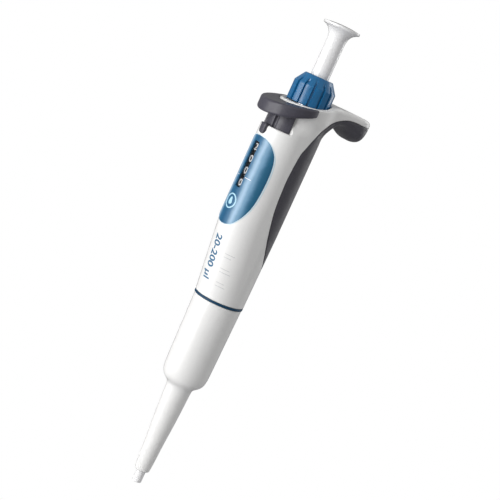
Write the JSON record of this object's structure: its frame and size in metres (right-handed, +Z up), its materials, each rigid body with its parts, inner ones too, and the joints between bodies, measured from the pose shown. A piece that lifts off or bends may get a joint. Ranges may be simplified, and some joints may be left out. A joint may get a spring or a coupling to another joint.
{
  "type": "adjustable micropipette",
  "caption": "Hand-held single-channel adjustable air-displacement pipette: slim handle with finger hook, push button, adjusting knob, side-stacked digit counter and tip ejector.",
  "frame": {"origin": "centre of the nozzle's lower end, where the air channel opens", "axes": "+Z up the plunger axis towards the push button; -Y the front with the display; +Y the back with the finger hook; +X the user's right seen from the back"},
  "size_m": [0.03, 0.0599, 0.24],
  "materials": {
    "white_gloss": "semi-gloss moulded, pure white",
    "button_white": "glossy moulded",
    "soft_charcoal": "satin soft-touch elastomer, faint violet tint",
    "charcoal_plastic": "satin moulded",
    "knob_blue": "satin moulded blue",
    "label_blue": "glossy printed blue, lighter towards the middle",
    "window_clear": "clear polycarbonate",
    "ring_navy": "glossy dark navy",
    "pale_grey": "moulded pale grey",
    "acetal": "natural acetal",
    "wheel_black": "matt black, white figures",
    "steel": "turned and polished steel",
    "spring_steel": "drawn spring wire",
    "brass": "turned brass",
    "ptfe": "waxy white seal plastic",
    "seal_rubber": "greased rubber"
  },
  "bodies": {
    "handle": {"handle_shell": "white_gloss", "grip_lining": "soft_charcoal", "display_label": "label_blue", "display_window": "window_clear", "stem_guide": "charcoal_plastic", "upper_bush": "pale_grey", "nut_cage": "pale_grey", "counter_frame": "steel", "counter_cap": "steel", "counter_screws": "steel", "counter_shaft": "steel", "pinion_shaft": "steel", "ejector_spring": "spring_steel", "seam_ring": "ring_navy", "coupling_sleeve": "pale_grey", "coupling_nut": "steel", "rod_guide_bush": "brass", "tip_cone": "button_white", "blowout_spring": "spring_steel", "piston_seal": "ptfe", "piston_o_ring": "seal_rubber", "seal_retainer": "brass"},
    "blowout_stage": {"blowout_cup": "pale_grey", "primary_spring": "spring_steel"},
    "plunger": {"push_button": "button_white", "operating_rod": "steel", "plunger_collar": "brass", "piston_head": "pale_grey", "piston": "steel"},
    "volume_knob": {"adjusting_knob": "knob_blue", "drive_sleeve": "steel", "knob_clip": "spring_steel", "lead_screw": "brass", "drive_gear": "acetal"},
    "nut": {"setting_nut": "acetal"},
    "tenths": {"wheel_tenths": "wheel_black"},
    "units": {"wheel_units": "wheel_black"},
    "tens": {"wheel_tens": "wheel_black"},
    "hundreds": {"wheel_hundreds": "wheel_black"},
    "pinion_1": {"transfer_pinion_1": "acetal"},
    "pinion_2": {"transfer_pinion_2": "acetal"},
    "pinion_3": {"transfer_pinion_3": "acetal"},
    "ejector": {"ejector_button": "charcoal_plastic", "ejector_rod": "steel", "shell_collar": "pale_grey", "ejector_shell": "white_gloss"}
  },
  "joints": [
    {"name": "blowout_stroke", "type": "slide", "parent": "handle", "child": "blowout_stage", "axis": [0, 0, 1], "range_m": [-0.004, 0], "stiffness_N_per_m": 2500, "springref_m": 0.003, "deforming": ["blowout_spring"]},
    {"name": "plunger_stroke", "type": "slide", "parent": "blowout_stage", "child": "plunger", "axis": [0, 0, 1], "range_m": [-0.015, 0], "stiffness_N_per_m": 300, "springref_m": 0.01, "deforming": ["primary_spring"]},
    {"name": "knob_turn", "type": "hinge", "parent": "handle", "child": "volume_knob", "pos_m": [0, 0, 0.2], "axis": [0, 0, 1], "range_deg": [-16200, 0]},
    {"name": "nut_travel", "type": "slide", "parent": "handle", "child": "nut", "axis": [0, 0, 1], "range_m": [-0.0135, 0]},
    {"name": "tenths_turn", "type": "hinge", "parent": "handle", "child": "tenths", "pos_m": [0, -0.0119, 0.15], "axis": [0, 0, 1], "range_deg": [0, 64800]},
    {"name": "units_turn", "type": "hinge", "parent": "handle", "child": "units", "pos_m": [0, -0.0119, 0.15], "axis": [0, 0, 1], "range_deg": [0, 6480]},
    {"name": "tens_turn", "type": "hinge", "parent": "handle", "child": "tens", "pos_m": [0, -0.0119, 0.15], "axis": [0, 0, 1], "range_deg": [0, 648]},
    {"name": "hundreds_turn", "type": "hinge", "parent": "handle", "child": "hundreds", "pos_m": [0, -0.0119, 0.15], "axis": [0, 0, 1], "range_deg": [0, 64.8]},
    {"name": "pinion_1_turn", "type": "hinge", "parent": "handle", "child": "pinion_1", "pos_m": [0.00482, -0.00965, 0.15], "axis": [0, 0, 1], "range_deg": [-16200, 0]},
    {"name": "pinion_2_turn", "type": "hinge", "parent": "handle", "child": "pinion_2", "pos_m": [0.00482, -0.00965, 0.15], "axis": [0, 0, 1], "range_deg": [-1620, 0]},
    {"name": "pinion_3_turn", "type": "hinge", "parent": "handle", "child": "pinion_3", "pos_m": [0.00482, -0.00965, 0.15], "axis": [0, 0, 1], "range_deg": [-162, 0]},
    {"name": "ejector_stroke", "type": "slide", "parent": "handle", "child": "ejector", "axis": [0, 0, 1], "range_m": [-0.0055, 0], "stiffness_N_per_m": 1500, "springref_m": 0.002, "deforming": ["ejector_spring"]}
  ],
  "couplings": [
    {"joint": "nut_travel", "follows": "knob_turn", "m_per_rad": 0.000047746},
    {"joint": "tenths_turn", "follows": "knob_turn", "ratio": -4},
    {"joint": "units_turn", "follows": "knob_turn", "ratio": -0.4},
    {"joint": "tens_turn", "follows": "knob_turn", "ratio": -0.04},
    {"joint": "hundreds_turn", "follows": "knob_turn", "ratio": -0.004},
    {"joint": "pinion_1_turn", "follows": "knob_turn", "ratio": 1},
    {"joint": "pinion_2_turn", "follows": "knob_turn", "ratio": 0.1},
    {"joint": "pinion_3_turn", "follows": "knob_turn", "ratio": 0.01}
  ]
}
